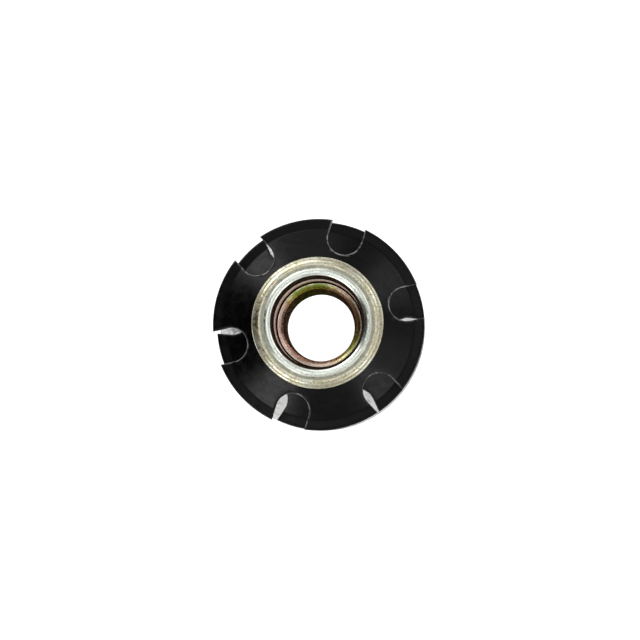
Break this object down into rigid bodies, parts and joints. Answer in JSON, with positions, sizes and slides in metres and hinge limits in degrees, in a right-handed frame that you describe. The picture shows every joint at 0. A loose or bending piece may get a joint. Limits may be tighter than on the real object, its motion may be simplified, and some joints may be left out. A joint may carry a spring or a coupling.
{
  "type": "threaded caster insert",
  "caption": "Threaded insert for a caster stem in the end of a round tube: a flanged steel barrel with a rolled collar that holds toothed, dished star washers",
  "frame": {"origin": "centre of the flange's outer face, where the insert ends the tube", "axes": "+Z runs along the bore and into the tube, +X and +Y lie in the flange's face"},
  "size_m": [0.0252, 0.0252, 0.0191],
  "materials": {
    "zinc": "zinc plated, turned and rolled",
    "black_steel": "black oxide spring steel, satin"
  },
  "bodies": {
    "root": {"flanged_barrel": "zinc", "lower_star_washer": "black_steel", "spacer_sleeve": "zinc", "upper_star_washer": "black_steel"}
  },
  "joints": []
}
